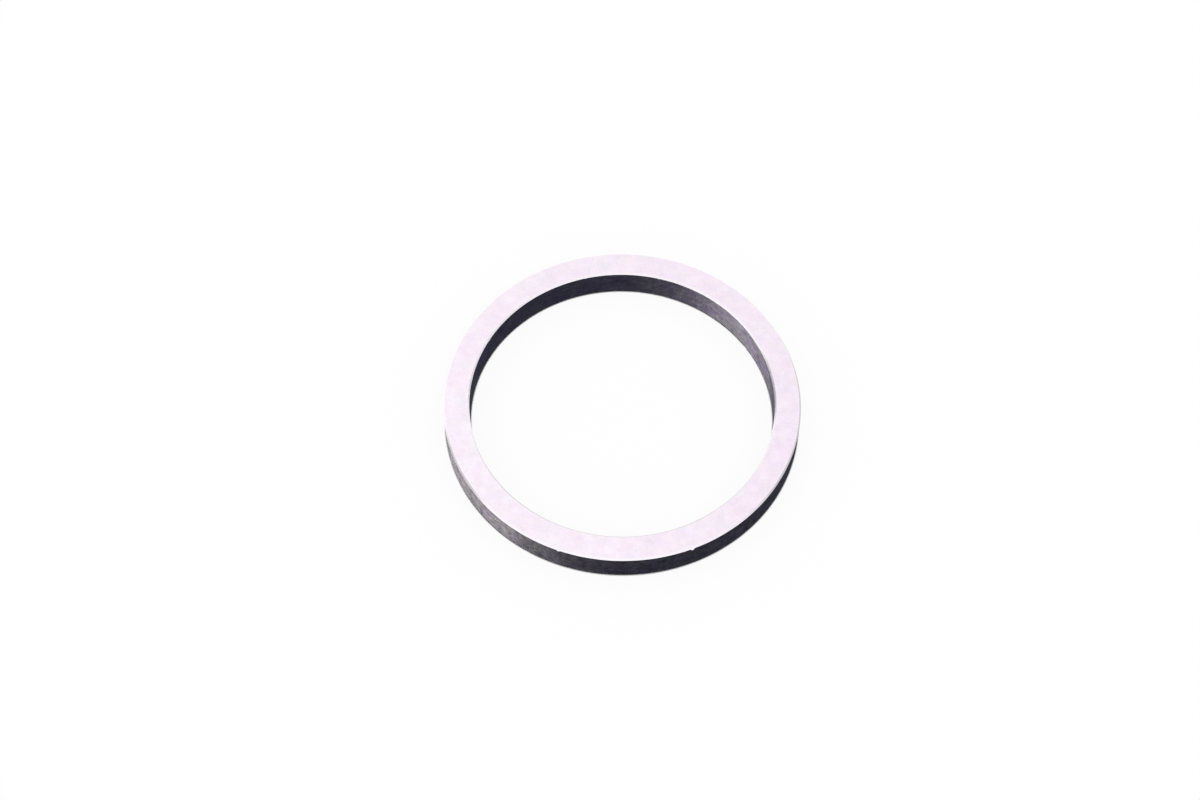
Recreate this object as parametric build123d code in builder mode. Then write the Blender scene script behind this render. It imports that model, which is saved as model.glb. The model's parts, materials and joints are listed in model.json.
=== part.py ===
from build123d import *
import os

# Shim ring: a plain ring of steel, turned as one piece, parted off and ground flat on both faces. It sets
# the distance between two parts, such as a bearing and a shoulder, on a shaft or in a housing.
# The origin is on the axis, at the middle of the lower face, and +Z runs along the axis.

# Driving dimensions, in millimetres
bore_diameter = 47.0    # slides over the shaft
wall_width = 4.0        # from the bore to the outside, along a radius
thickness = 5.0         # the distance that the ring sets, from face to face
edge_break = 0.2        # 45 degree chamfer on the bore's two rims and the outside's two rims

bore_radius = bore_diameter / 2

with BuildPart() as shim_ring:
    # The cut section stands on the lower face, to the right of the axis, and is turned once round it.
    with BuildSketch(Plane.XZ) as section:
        with Locations((bore_radius, 0)):
            Rectangle(wall_width, thickness, align=(Align.MIN, Align.MIN))
        chamfer(section.vertices(), edge_break)
    revolve(axis=Axis.Z)

shim_ring.part.label = "shim_ring"

os.makedirs("parts", exist_ok=True)
export_step(shim_ring.part, "parts/shim_ring.step")
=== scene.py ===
import json
import math
import random

import bmesh
import bpy
from mathutils import Matrix, Vector, noise


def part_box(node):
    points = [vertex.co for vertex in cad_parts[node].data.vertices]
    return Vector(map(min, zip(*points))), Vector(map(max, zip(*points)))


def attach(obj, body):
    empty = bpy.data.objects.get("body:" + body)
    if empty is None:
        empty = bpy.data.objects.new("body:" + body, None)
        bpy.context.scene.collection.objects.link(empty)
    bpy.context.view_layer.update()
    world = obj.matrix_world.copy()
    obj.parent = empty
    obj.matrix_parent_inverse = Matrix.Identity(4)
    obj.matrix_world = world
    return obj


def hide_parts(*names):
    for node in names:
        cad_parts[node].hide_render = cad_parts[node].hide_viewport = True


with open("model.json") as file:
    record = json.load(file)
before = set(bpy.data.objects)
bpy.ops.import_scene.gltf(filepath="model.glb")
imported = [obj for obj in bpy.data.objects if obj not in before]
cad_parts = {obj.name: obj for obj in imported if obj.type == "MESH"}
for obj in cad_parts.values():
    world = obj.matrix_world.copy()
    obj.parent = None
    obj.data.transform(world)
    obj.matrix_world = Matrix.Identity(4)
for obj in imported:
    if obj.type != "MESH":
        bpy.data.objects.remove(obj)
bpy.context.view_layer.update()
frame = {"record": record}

# Camera. It looks down on the ring from the front, 59 degrees above the floor, and a little to the ring's
# left, so that the ring lies right of the picture's middle.
camera_elevation = math.radians(58.92)
camera_distance = 0.3237
aim_left_of_ring = 0.00339
aim_above_ring = 0.00256
film_width_mm = 36
lens_length_mm = 62.3

camera_data = bpy.data.cameras.new("camera")
camera_data.sensor_width = film_width_mm
camera_data.lens = lens_length_mm
camera = bpy.data.objects.new("camera", camera_data)
towards_camera = Vector((0, -math.cos(camera_elevation), math.sin(camera_elevation)))
up_in_picture = Vector((0, math.sin(camera_elevation), math.cos(camera_elevation)))
camera.location = towards_camera * camera_distance + up_in_picture * aim_above_ring
camera.location.x = -aim_left_of_ring
camera.rotation_euler.x = math.pi / 2 - camera_elevation
bpy.context.scene.collection.objects.link(camera)
bpy.context.scene.camera = camera

# Floor. A sheet of white paper that glows, as on a light table: it shows as white in the picture and in the
# metal, and keeps a faint soft shadow, with a painted contact shadow, a dark line right under the ring's
# broken lower rim.
floor_half_width = 2.0
floor_gap = 0.00003
paper_white = (1, 1, 1, 1)
paper_glow = 0.92
contact_reach = 0.0003
contact_glow = 0.0
contact_shut = 0.56
contact_open = 0.86

floor_mesh = bmesh.new()
bmesh.ops.create_grid(floor_mesh, x_segments=1, y_segments=1, size=floor_half_width)
bmesh.ops.translate(floor_mesh, vec=(0, 0, -floor_gap), verts=floor_mesh.verts)
floor_data = bpy.data.meshes.new("floor")
floor_mesh.to_mesh(floor_data)
floor_mesh.free()
floor = bpy.data.objects.new("floor", floor_data)
bpy.context.scene.collection.objects.link(floor)


def wire(tree, kind, inputs=(), **settings):
    """Adds a node and fills its sockets, each with a value or with another node's output."""
    made = tree.nodes.new(kind)
    for name, value in settings.items():
        setattr(made, name, value)
    for socket, value in dict(inputs).items():
        if isinstance(value, bpy.types.NodeSocket):
            tree.links.new(value, made.inputs[socket])
        else:
            made.inputs[socket].default_value = value
    return made


def reckon(tree, operation, first, second=0.0):
    """Adds a Math node and gives its output."""
    return wire(tree, "ShaderNodeMath", {0: first, 1: second}, operation=operation).outputs[0]


def spread(tree, value, low, high, to_low=0.0, to_high=1.0, curve="LINEAR"):
    """Spreads the part of a value that lies between low and high over a new range."""
    sockets = {"Value": value, "From Min": low, "From Max": high, "To Min": to_low, "To Max": to_high}
    return wire(tree, "ShaderNodeMapRange", sockets, interpolation_type=curve).outputs[0]


paper = bpy.data.materials.new("paper")
paper.use_nodes = True
paper_tree = paper.node_tree
paper_tree.nodes.clear()
rays = wire(paper_tree, "ShaderNodeLightPath")
seen = reckon(paper_tree, "MAXIMUM", rays.outputs["Is Camera Ray"], rays.outputs["Is Glossy Ray"])
seen = reckon(paper_tree, "MAXIMUM", seen, rays.outputs["Is Transmission Ray"])
glow_share = reckon(paper_tree, "MULTIPLY", seen, paper_glow)
# Painted contact shadow: ambient occlusion dims the glow right next to the ring.
contact_shadow = wire(paper_tree, "ShaderNodeAmbientOcclusion", {"Distance": contact_reach}, samples=4)
glow = spread(paper_tree, contact_shadow.outputs["AO"], contact_shut, contact_open, contact_glow, 1, "SMOOTHSTEP")
lit_paper = wire(paper_tree, "ShaderNodeBsdfDiffuse", {"Color": paper_white})
glowing_paper = wire(paper_tree, "ShaderNodeEmission", {"Strength": glow})
paper_mix = wire(paper_tree, "ShaderNodeMixShader", {
    0: glow_share, 1: lit_paper.outputs[0], 2: glowing_paper.outputs[0],
})
wire(paper_tree, "ShaderNodeOutputMaterial", {"Surface": paper_mix.outputs[0]})
floor_data.materials.append(paper)

# Studio light. A white room with a faint grey band high up and a darker right end, and one broad soft lamp
# high on the left, which shows only as a sheen on the metal.
room_axis = (1, 0, -1.1)
room_low = -1.1
room_high = 0.9
room_strength = 1.02
room_stops = [
    # place along the axis, colour there
    (-1.04, (1, 1, 1, 1)),
    (-0.86, (0.925, 0.893, 0.928, 1)),
    (-0.6, (1, 1, 1, 1)),
    (0.3, (0.96, 0.95, 0.96, 1)),
    (0.85, (0.58, 0.52, 0.6, 1)),
]
lamp_azimuth = math.radians(182)
lamp_elevation = math.radians(46)
lamp_distance = 0.6
lamp_width = 0.44
lamp_height = 0.12
lamp_radiance = 120.0
lamp_color = (1, 0.91, 0.69)

room = bpy.data.worlds.new("room")
room.use_nodes = True
bpy.context.scene.world = room
room_tree = room.node_tree
room_tree.nodes.clear()
room_way = wire(room_tree, "ShaderNodeTexCoord").outputs["Generated"]
room_place = wire(room_tree, "ShaderNodeVectorMath", {0: room_way, 1: room_axis}, operation="DOT_PRODUCT")
room_ramp = wire(room_tree, "ShaderNodeValToRGB", {
    "Fac": spread(room_tree, room_place.outputs["Value"], room_low, room_high),
})
for stop_place, stop_color in room_stops:
    stop = room_ramp.color_ramp.elements.new((stop_place - room_low) / (room_high - room_low))
    stop.color = stop_color
room_ramp.color_ramp.elements[0].color = room_stops[0][1]
room_ramp.color_ramp.elements[-1].color = room_stops[-1][1]
room_light = wire(room_tree, "ShaderNodeBackground", {
    "Color": room_ramp.outputs[0], "Strength": room_strength,
})
wire(room_tree, "ShaderNodeOutputWorld", {"Surface": room_light.outputs[0]})

lamp_data = bpy.data.lights.new("softbox", "AREA")
lamp_data.shape = "RECTANGLE"
lamp_data.size = lamp_width
lamp_data.size_y = lamp_height
lamp_data.color = lamp_color
lamp_data.energy = lamp_radiance * math.pi * lamp_width * lamp_height
lamp = bpy.data.objects.new("softbox", lamp_data)
towards_lamp = Vector((
    math.cos(lamp_elevation) * math.cos(lamp_azimuth),
    math.cos(lamp_elevation) * math.sin(lamp_azimuth),
    math.sin(lamp_elevation),
))
lamp.location = towards_lamp * lamp_distance
lamp.rotation_euler = towards_lamp.to_track_quat("Z", "Y").to_euler()
lamp.visible_diffuse = False
lamp.visible_camera = False
bpy.context.scene.collection.objects.link(lamp)

bpy.context.scene.view_settings.view_transform = "Standard"

# Shim ring. One piece of steel, turned, parted off and hardened, which leaves a dark skin in the bore and on
# the outside. Both faces are then ground bright and its four rims broken, with a few nicks from handling.
mounts = {mount["name"]: mount["dims"] for mount in frame["record"]["mounts"]}
ring_low, ring_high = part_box("shim_ring")
thickness = ring_high.z - ring_low.z
bore_radius = mounts["bore"]["r_mm"] / 1000
outside_radius = mounts["outside"]["r_mm"] / 1000
wall_width = outside_radius - bore_radius
middle_radius = (outside_radius + bore_radius) / 2
edge_break = (thickness - mounts["bore"]["length_mm"] / 1000) / 2
quarter_turn = math.pi / 2
steps_in_quarter = 360
weld_reach = 0.000002

# The section, a rectangle with its corners cut, is spun through a quarter, which is then copied round.
ring_mesh = bmesh.new()
bmesh.ops.create_grid(ring_mesh, x_segments=1, y_segments=1, size=0.5)
bmesh.ops.scale(ring_mesh, vec=(wall_width, thickness, 1), verts=ring_mesh.verts)
bmesh.ops.rotate(ring_mesh, matrix=Matrix.Rotation(quarter_turn, 3, "X"), verts=ring_mesh.verts)
bmesh.ops.translate(ring_mesh, vec=(middle_radius, 0, thickness / 2), verts=ring_mesh.verts)
bmesh.ops.bevel(
    ring_mesh, geom=ring_mesh.verts[:], offset=edge_break, offset_type="OFFSET", segments=1,
    profile=0.5, affect="VERTICES", material=-1,
)
bmesh.ops.delete(ring_mesh, geom=ring_mesh.faces[:], context="FACES_ONLY")
bmesh.ops.spin(
    ring_mesh, geom=ring_mesh.verts[:] + ring_mesh.edges[:], cent=(0, 0, 0), axis=(0, 0, 1),
    angle=quarter_turn, steps=steps_in_quarter, use_merge=False,
)
quarter = ring_mesh.verts[:] + ring_mesh.edges[:] + ring_mesh.faces[:]
for turn in (1, 2, 3):
    copy = bmesh.ops.duplicate(ring_mesh, geom=quarter)
    bmesh.ops.rotate(
        ring_mesh, matrix=Matrix.Rotation(turn * quarter_turn, 3, "Z"),
        verts=[item for item in copy["geom"] if isinstance(item, bmesh.types.BMVert)],
    )
bmesh.ops.remove_doubles(ring_mesh, verts=ring_mesh.verts, dist=weld_reach)
bmesh.ops.recalc_face_normals(ring_mesh, faces=ring_mesh.faces)

# The three finishes further down go on the ring in the order of these slots.
ground_slot = 0
turned_slot = 1
broken_slot = 2
level_tilt = 0.999
upright_tilt = 0.001
for face in ring_mesh.faces:
    face.smooth = True
    tilt = abs(face.normal.z)
    if tilt > level_tilt:
        face.material_index = ground_slot
    elif tilt < upright_tilt:
        face.material_index = turned_slot
    else:
        face.material_index = broken_slot

# The rims wander a little, the top ones are rubbed further down the walls, and each nick takes the rim's
# corner down the wall and back into the face.
top = 1
bottom = -1
top_rim_rub = 0.00008
rim_wander = 0.000025
wander_per_turn = 9
ripple_share = 0.15
ripples_per_wander = 5
nicks = [
    # azimuth in degrees, rim's radius, top or bottom, half width, depth
    (292.0, outside_radius, top, 0.00032, 0.00045),
    (249.6, outside_radius, top, 0.00025, 0.00028),
    (50.0, bore_radius, top, 0.00016, 0.00012),
    (210.0, bore_radius, top, 0.0003, 0.00015),
]
nick_in_face = 0.35
small_nicks = 44
small_nick_half_width = (0.00012, 0.0003)
small_nick_depth = (0.00003, 0.00011)
small_nick_seed = 11
draw = random.Random(small_nick_seed)
for _ in range(small_nicks):
    nicks.append((
        draw.uniform(0, 360), draw.choice((bore_radius, outside_radius)), draw.choice((top, bottom)),
        draw.uniform(*small_nick_half_width), draw.uniform(*small_nick_depth),
    ))
# Some stretches of rim are painted grey, as painted shade in what they reflect. Each fades out over the
# outer half of its length.
shaded_rim_stretches = [
    # azimuth in degrees, half width in degrees, rim's radius
    (264, 72, bore_radius),
    (7, 17, bore_radius),
    (350, 40, outside_radius),
    (206, 17, outside_radius),
]
stretch_fade = 0.5
crease_angle = math.radians(4)


def turn_between(azimuth, degrees):
    """Gives the turn from an azimuth to a place in degrees, whichever way round is shorter."""
    return abs((azimuth - math.radians(degrees) + math.pi) % (2 * math.pi) - math.pi)


# Per vertex, how much of the rims' painted shade it takes.
rim_painted_shade = ring_mesh.verts.layers.float.new("rim_painted_shade")
for vert in ring_mesh.verts:
    radius = vert.co.xy.length
    azimuth = math.atan2(vert.co.y, vert.co.x)
    side = top if vert.co.z > thickness / 2 else bottom
    rim_radius = outside_radius if radius > middle_radius else bore_radius
    height_of_its_own = side * rim_radius / wall_width
    wander_place = Vector((math.cos(azimuth), math.sin(azimuth), height_of_its_own)) * wander_per_turn
    ripple = ripple_share * noise.noise(wander_place * ripples_per_wander)
    depth = rim_wander * (noise.noise(wander_place) + ripple)
    if side == top:
        depth += top_rim_rub
    for nick_azimuth, nick_rim, nick_side, half_width, nick_depth in nicks:
        along = turn_between(azimuth, nick_azimuth) * rim_radius
        if nick_rim == rim_radius and nick_side == side and along < half_width:
            depth += nick_depth * (1 - (along / half_width) ** 2)
    for stretch_azimuth, stretch_half_width, stretch_rim in shaded_rim_stretches:
        from_end = 1 - turn_between(azimuth, stretch_azimuth) / math.radians(stretch_half_width)
        if stretch_rim == rim_radius:
            vert[rim_painted_shade] = max(vert[rim_painted_shade], min(1, from_end / stretch_fade))
    if abs(radius - rim_radius) < edge_break / 2:
        vert.co.z -= side * depth
    else:
        inwards = 1 if rim_radius == bore_radius else -1
        vert.co.xy *= (radius + inwards * depth * nick_in_face) / radius
for edge in ring_mesh.edges:
    edge.smooth = edge.calc_face_angle() < crease_angle
ring_data = bpy.data.meshes.new("ring")
ring_mesh.to_mesh(ring_data)
ring_mesh.free()
ring = bpy.data.objects.new("ring", ring_data)
bpy.context.scene.collection.objects.link(ring)

# Marks in the metal, as grinding and hardening leave them: soft patches, and streaks along the cut.
noise_low = 0.3
noise_high = 0.7
marks = bpy.data.node_groups.new("metal_marks", "ShaderNodeTree")
for name, kind in (
    ("Place", "NodeSocketVector"), ("Patch Scale", "NodeSocketFloat"),
    ("Streak Place", "NodeSocketVector"), ("Streak Scale", "NodeSocketFloat"),
):
    marks.interface.new_socket(name, in_out="INPUT", socket_type=kind)
for name in ("Patches", "Streaks"):
    marks.interface.new_socket(name, in_out="OUTPUT", socket_type="NodeSocketFloat")
marks_in = wire(marks, "NodeGroupInput").outputs
patch_noise = wire(marks, "ShaderNodeTexNoise", {
    "Vector": marks_in["Place"], "Scale": marks_in["Patch Scale"], "Detail": 4, "Roughness": 0.75,
}).outputs[0]
streak_noise = wire(marks, "ShaderNodeTexNoise", {
    "Vector": marks_in["Streak Place"], "Scale": marks_in["Streak Scale"], "Detail": 5, "Roughness": 0.7,
}).outputs[0]
wire(marks, "NodeGroupOutput", {
    "Patches": spread(marks, patch_noise, noise_low, noise_high),
    "Streaks": spread(marks, streak_noise, noise_low, noise_high),
})


def off_axis(tree, place):
    """Gives how far a place is from the ring's axis."""
    flat = wire(tree, "ShaderNodeVectorMath", {0: place, 1: (1, 1, 0)}, operation="MULTIPLY").outputs[0]
    return wire(tree, "ShaderNodeVectorMath", {0: flat}, operation="LENGTH").outputs["Value"]


# Wear, strongest at the rims and gone at a ragged reach from them.
wear_lumps_per_metre = 1800
shortest_reach = 0.2
longest_reach = 1.8
fully_worn = 0.6
wear = bpy.data.node_groups.new("rim_wear", "ShaderNodeTree")
wear.interface.new_socket("Reach", in_out="INPUT", socket_type="NodeSocketFloat")
wear.interface.new_socket("Worn", in_out="OUTPUT", socket_type="NodeSocketFloat")
wear_in = wire(wear, "NodeGroupInput").outputs
wear_place = wire(wear, "ShaderNodeTexCoord").outputs["Object"]
wear_level = wire(wear, "ShaderNodeSeparateXYZ", {0: wear_place}).outputs["Z"]
off_middle = reckon(wear, "ABSOLUTE", reckon(wear, "SUBTRACT", off_axis(wear, wear_place), middle_radius))
off_half_height = reckon(wear, "ABSOLUTE", reckon(wear, "SUBTRACT", wear_level, thickness / 2))
from_rim = reckon(
    wear, "MAXIMUM", reckon(wear, "SUBTRACT", wall_width / 2, off_middle),
    reckon(wear, "SUBTRACT", thickness / 2, off_half_height),
)
wear_noise = wire(wear, "ShaderNodeTexNoise", {
    "Vector": wear_place, "Scale": wear_lumps_per_metre, "Detail": 3,
}).outputs[0]
reach_share = spread(wear, wear_noise, noise_low, noise_high, shortest_reach, longest_reach)
ragged_reach = reckon(wear, "MULTIPLY", wear_in["Reach"], reach_share)
nearness = reckon(wear, "SUBTRACT", 1, reckon(wear, "DIVIDE", from_rim, ragged_reach))
wire(wear, "NodeGroupOutput", {"Worn": spread(wear, nearness, 0, fully_worn, 0, 1, "SMOOTHSTEP")})


def ring_finish(name, patch_size, streak_size, streak_turn=0.0, streak_stretch=(1, 1, 1)):
    """Starts a metal finish and gives its tree, its shader and its marks: patches and streaks."""
    finish = bpy.data.materials.new(name)
    finish.use_nodes = True
    tree = finish.node_tree
    shader = tree.nodes["Principled BSDF"]
    shader.inputs["Metallic"].default_value = 1
    place = wire(tree, "ShaderNodeTexCoord").outputs["Object"]
    streak_place = wire(tree, "ShaderNodeMapping", {
        "Vector": place, "Rotation": (0, 0, streak_turn), "Scale": streak_stretch,
    }).outputs[0]
    grain = wire(tree, "ShaderNodeGroup", {
        "Place": place, "Patch Scale": 1 / patch_size,
        "Streak Place": streak_place, "Streak Scale": 1 / streak_size,
    }, node_tree=marks).outputs
    ring_data.materials.append(finish)
    return tree, shader, grain["Patches"], grain["Streaks"]


def rim_worn(tree, reach):
    """Gives how worn the metal is, from 0 to 1, within a reach of the rims."""
    return wire(tree, "ShaderNodeGroup", {"Reach": reach}, node_tree=wear).outputs["Worn"]


def blend(tree, share, first, second, kind="MIX"):
    """Adds a Mix node for two colours and gives its output."""
    sockets = {0: share, 6: first, 7: second}
    return wire(tree, "ShaderNodeMix", sockets, data_type="RGBA", blend_type=kind).outputs[2]


def roughen(tree, shader, share, middle, leeway):
    """Gives a finish its roughness, which goes from a leeway below its middle to a leeway above it."""
    roughness = spread(tree, share, 0, 1, middle - leeway, middle + leeway)
    tree.links.new(roughness, shader.inputs["Roughness"])


def relief(tree, shader, height, distance):
    """Gives a finish its relief, a height from 0 to 1 times a distance in metres."""
    bump = wire(tree, "ShaderNodeBump", {"Height": height, "Strength": 1, "Distance": distance})
    tree.links.new(bump.outputs[0], shader.inputs["Normal"])


# The ground faces: a pale rosy steel in lighter and duller patches with a faint play of colour, and very
# fine straight lines.
face_shade = (0.905, 0.812, 0.91, 1)
face_pale = (0.995, 0.912, 0.992, 1)
face_worn = (0.97, 0.93, 0.97, 1)
face_wear_reach = 0.0004
face_wear_share = 0.7
cast_patch_size = 0.0026
cast_share = 0.075
face_rough = 0.12
face_rough_leeway = 0.02
face_relief = 0.000005
ground_tree, ground_shader, patches, streaks = ring_finish(
    "ground_face", patch_size=0.0018, streak_size=0.0014, streak_turn=math.radians(3),
    streak_stretch=(12, 1, 1),
)
face_color = blend(ground_tree, patches, face_shade, face_pale)
cast_noise = wire(ground_tree, "ShaderNodeTexNoise", {
    "Vector": wire(ground_tree, "ShaderNodeTexCoord").outputs["Object"],
    "Scale": 1 / cast_patch_size, "Detail": 3, "Roughness": 0.7,
}).outputs["Color"]
face_color = blend(ground_tree, cast_share, face_color, cast_noise, "LINEAR_LIGHT")
face_wear = reckon(ground_tree, "MULTIPLY", rim_worn(ground_tree, face_wear_reach), face_wear_share)
face_color = blend(ground_tree, face_wear, face_color, face_worn)
ground_tree.links.new(face_color, ground_shader.inputs["Base Color"])
roughen(ground_tree, ground_shader, streaks, face_rough, face_rough_leeway)
relief(ground_tree, ground_shader, streaks, face_relief)

# The turned walls: a dark hardened skin with a blue cast, streaks along the cut, light specks and worn rims,
# mottled in tone. The outside is painted a little darker and less blue than the bore, as painted shade, with
# a few lighter spots, which are partly lighter skin and partly painted highlight where the lamp's sheen
# falls.
skin_dark = (0.0225, 0.022, 0.038, 1)
skin_light = (0.061, 0.059, 0.087, 1)
# Painted shade: this darkens the outside's skin and takes some blue out of it, for the shade it reflects.
outside_painted_shade = (0.93, 0.93, 0.85, 1)
speck_light = (0.09, 0.087, 0.1, 1)
specks_per_metre = 260
speck_rim = 0.07
speck_core = 0.03
cool_tone = (1.02, 0.98, 1.06, 1)
plain_tone = (0.965, 1.0, 0.93, 1)
tone_size = 0.0035
tone_low = 0.4
tone_high = 0.6
mottle_size = 0.0009
mottle_in_bore = 0.025
mottle_outside = 0.045
# Lighter spots on the outside where the lamp's sheen falls: partly lighter skin, partly painted highlight
# that brightens the sheen.
spots_and_painted_highlights = [
    # azimuth in degrees on the outside, height, radius
    (230.0, 0.0026, 0.0042),
    (241.8, 0.0016, 0.0006),
    (246.0, 0.0025, 0.0036),
    (198.0, 0.0025, 0.006),
]
spot_and_highlight_gain = (1.32, 1.34, 1.3, 1)
skin_worn = (0.15, 0.145, 0.16, 1)
skin_wear_reach = 0.00012
wall_tint = (0.64, 0.64, 0.72, 1)
wall_rough = 0.68
wall_rough_leeway = 0.05
wall_aniso = 0.9
wall_aniso_turn = 0.25
wall_relief = 0.00004
streak_relief_share = 0.25
turned_tree, turned_shader, patches, streaks = ring_finish(
    "turned_wall", patch_size=0.0022, streak_size=0.0032, streak_stretch=(1, 1, 7),
)
turned_place = wire(turned_tree, "ShaderNodeTexCoord").outputs["Object"]
on_outside = reckon(turned_tree, "GREATER_THAN", off_axis(turned_tree, turned_place), middle_radius)
skin_cast = reckon(turned_tree, "MULTIPLY", reckon(turned_tree, "ADD", patches, streaks), 0.5)
skin_color = blend(turned_tree, skin_cast, skin_dark, skin_light)
speck_cells = wire(turned_tree, "ShaderNodeTexVoronoi", {"Vector": turned_place, "Scale": specks_per_metre})
specks = spread(turned_tree, speck_cells.outputs["Distance"], speck_rim, speck_core)
skin_color = blend(turned_tree, specks, skin_color, speck_light)
tone_noise = wire(turned_tree, "ShaderNodeTexNoise", {
    "Vector": turned_place, "Scale": 1 / tone_size,
}).outputs[0]
tone_share = spread(turned_tree, tone_noise, tone_low, tone_high)
skin_tone = blend(turned_tree, tone_share, plain_tone, cool_tone)
skin_color = blend(turned_tree, 1, skin_color, skin_tone, "MULTIPLY")
mottle_noise = wire(turned_tree, "ShaderNodeTexNoise", {
    "Vector": turned_place, "Scale": 1 / mottle_size, "Detail": 3, "Roughness": 0.7,
}).outputs[0]
mottle_share = spread(turned_tree, on_outside, 0, 1, mottle_in_bore, mottle_outside)
skin_color = blend(turned_tree, mottle_share, skin_color, mottle_noise, "LINEAR_LIGHT")
# Each spot multiplies the skin lighter, in part as a painted highlight.
for spot_azimuth, spot_height, spot_radius in spots_and_painted_highlights:
    spot_turn = math.radians(spot_azimuth)
    spot_place = (outside_radius * math.cos(spot_turn), outside_radius * math.sin(spot_turn), spot_height)
    from_spot = wire(turned_tree, "ShaderNodeVectorMath", {
        0: turned_place, 1: spot_place,
    }, operation="DISTANCE").outputs["Value"]
    spot_and_highlight_share = spread(turned_tree, from_spot, spot_radius, 0, 0, 1, "SMOOTHSTEP")
    skin_color = blend(turned_tree, spot_and_highlight_share, skin_color, spot_and_highlight_gain, "MULTIPLY")
# Painted shade on the outside wall.
skin_color = blend(turned_tree, on_outside, skin_color, outside_painted_shade, "MULTIPLY")
skin_color = blend(turned_tree, rim_worn(turned_tree, skin_wear_reach), skin_color, skin_worn)
turned_tree.links.new(skin_color, turned_shader.inputs["Base Color"])
roughen(turned_tree, turned_shader, skin_cast, wall_rough, wall_rough_leeway)
turned_shader.inputs["Specular Tint"].default_value = wall_tint
turned_shader.inputs["Anisotropic"].default_value = wall_aniso
turned_shader.inputs["Anisotropic Rotation"].default_value = wall_aniso_turn
round_tangent = wire(turned_tree, "ShaderNodeTangent", direction_type="RADIAL", axis="Z")
turned_tree.links.new(round_tangent.outputs[0], turned_shader.inputs["Tangent"])
streak_height = reckon(turned_tree, "MULTIPLY", streaks, streak_relief_share)
wall_height = reckon(turned_tree, "ADD", patches, streak_height)
relief(turned_tree, turned_shader, wall_height, wall_relief)

# The broken rims: bare steel, rubbed bright and a little matt, with the stretches of painted shade.
edge_bright = (1.0, 0.965, 1.0, 1)
edge_dull = (0.98, 0.945, 0.98, 1)
edge_painted_shade = (0.62, 0.595, 0.62, 1)
edge_metal = 0.22
edge_rough = 0.12
edge_rough_leeway = 0.02
edge_relief = 0.000002
broken_tree, broken_shader, patches, streaks = ring_finish(
    "broken_edge", patch_size=0.0015, streak_size=0.0004,
)
# The stretches of painted shade turn the rims grey.
painted_shade_share = wire(broken_tree, "ShaderNodeAttribute", attribute_name="rim_painted_shade").outputs["Fac"]
edge_color = blend(broken_tree, patches, edge_bright, edge_dull)
edge_color = blend(broken_tree, painted_shade_share, edge_color, edge_painted_shade)
broken_tree.links.new(edge_color, broken_shader.inputs["Base Color"])
broken_shader.inputs["Metallic"].default_value = edge_metal
roughen(broken_tree, broken_shader, streaks, edge_rough, edge_rough_leeway)
relief(broken_tree, broken_shader, streaks, edge_relief)

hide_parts("shim_ring")
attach(ring, "root")
